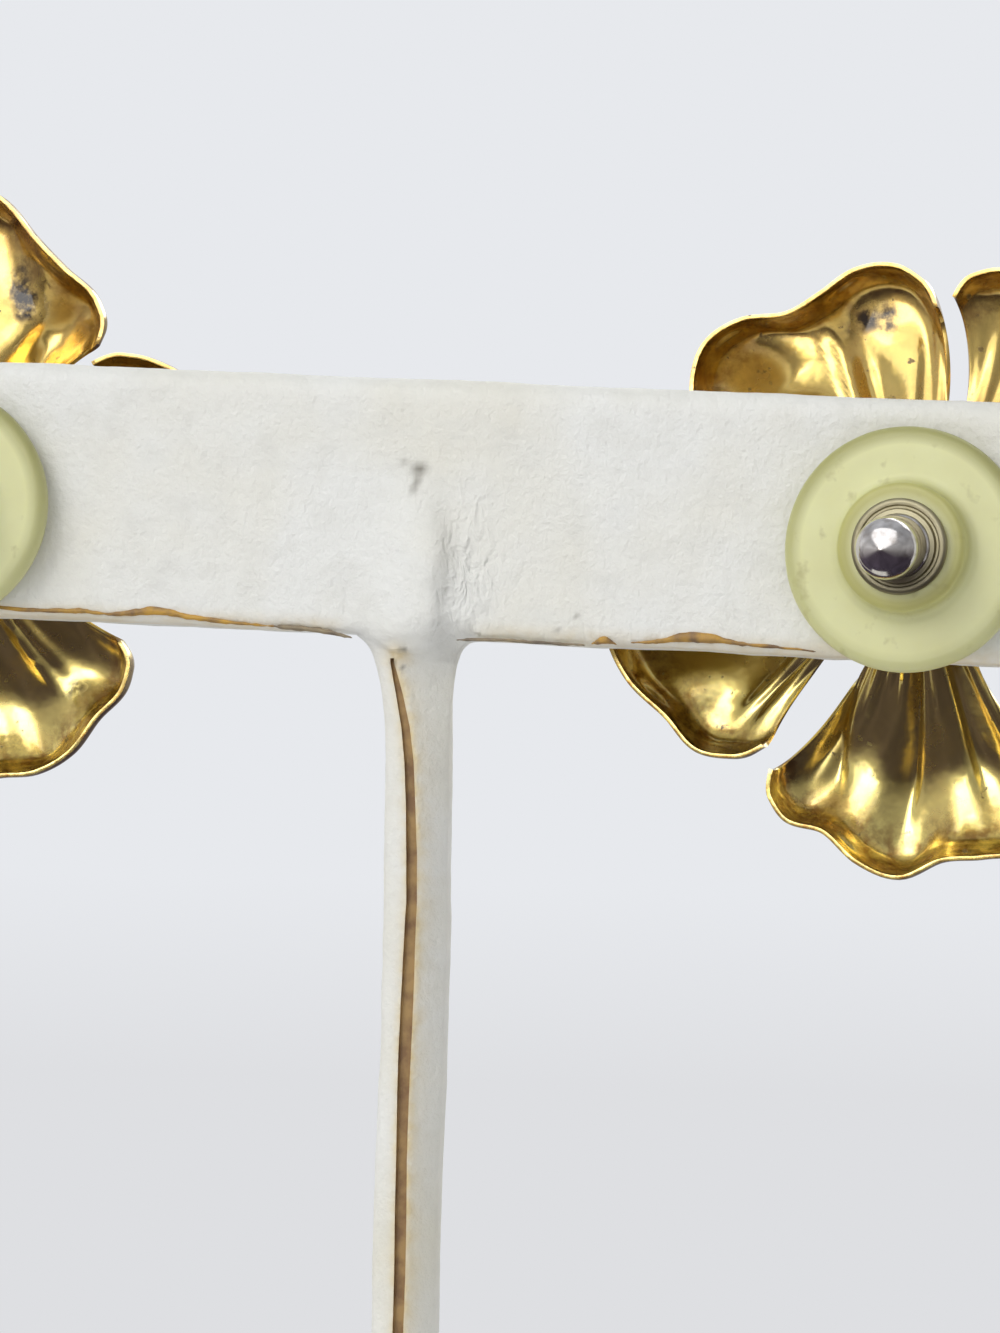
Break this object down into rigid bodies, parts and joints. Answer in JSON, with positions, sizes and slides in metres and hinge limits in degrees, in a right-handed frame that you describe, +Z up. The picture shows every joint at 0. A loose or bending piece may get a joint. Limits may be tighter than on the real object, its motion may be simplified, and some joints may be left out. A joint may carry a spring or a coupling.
{
  "type": "pair of flower stud earrings on a t-bar earring stand",
  "caption": "Pair of hollow-backed gold-tone flower stud earrings with bullet clutches, pinned through a leatherette T-bar stand.",
  "frame": {"origin": "centre of the base's underside", "axes": "+Z up along the stem, +X along the bar towards the right-hand earring as seen from the front, -Y the way the flowers face"},
  "size_m": [0.0744, 0.038, 0.0873],
  "materials": {
    "leatherette": "white leatherette, fine grain, yellowed glue lines",
    "gold_tone": "polished gold-tone plating with a little tarnish",
    "vinyl": "clear soft vinyl, yellowed",
    "nickel": "polished nickel plating"
  },
  "bodies": {
    "stand": {"base": "leatherette", "stem": "leatherette", "bar": "leatherette", "flower_left": "gold_tone", "flower_right": "gold_tone"},
    "clutch_left": {"clutch_disc_left": "vinyl", "clutch_bullet_left": "nickel"},
    "clutch_right": {"clutch_disc_right": "vinyl", "clutch_bullet_right": "nickel"}
  },
  "joints": [
    {"name": "clutch_slide_left", "type": "slide", "parent": "stand", "child": "clutch_left", "axis": [0, 1, 0], "range_m": [0, 0.006]},
    {"name": "clutch_slide_right", "type": "slide", "parent": "stand", "child": "clutch_right", "axis": [0, 1, 0], "range_m": [0, 0.006]}
  ]
}
